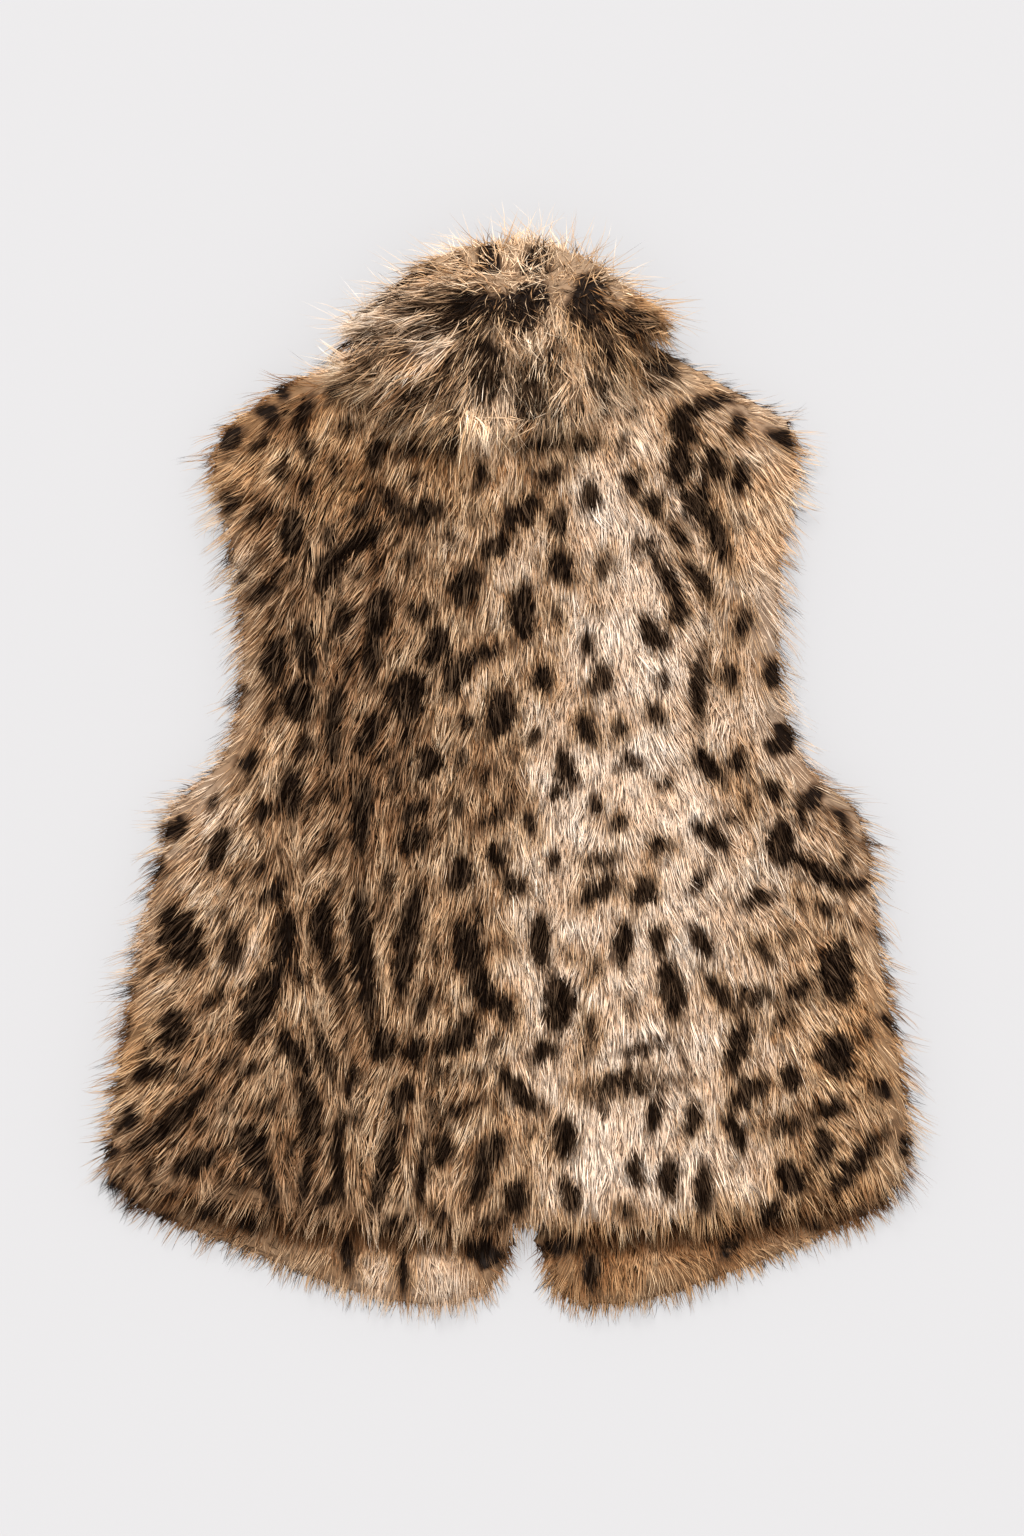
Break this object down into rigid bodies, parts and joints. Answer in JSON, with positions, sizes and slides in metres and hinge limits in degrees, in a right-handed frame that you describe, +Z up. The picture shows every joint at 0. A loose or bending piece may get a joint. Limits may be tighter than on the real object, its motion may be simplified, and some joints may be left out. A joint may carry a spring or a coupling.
{
  "type": "faux fur vest",
  "caption": "Hip-length sleeveless vest of spotted long-pile faux fur with a turned-down fur collar, laid flat on its fronts with the back up.",
  "frame": {"origin": "on the surface that the vest lies on, under the middle of its outline", "axes": "+Z up from the surface through the fronts to the back, +Y from the hem to the collar, +X towards the wearer's right side"},
  "size_m": [0.5904, 0.7784, 0.054],
  "materials": {
    "back_fur": "long-pile faux fur, tan to cream with dark brown spots and a soft sheen along the hair",
    "front_fur": "long-pile faux fur, tan with dark brown spots, pressed flat where it lies on the surface",
    "collar_fur": "long-pile faux fur, tan with dark brown patches, brushed outwards from the fold"
  },
  "bodies": {
    "root": {"back": "back_fur", "front_left": "front_fur", "front_right": "front_fur", "collar": "collar_fur"}
  },
  "joints": []
}
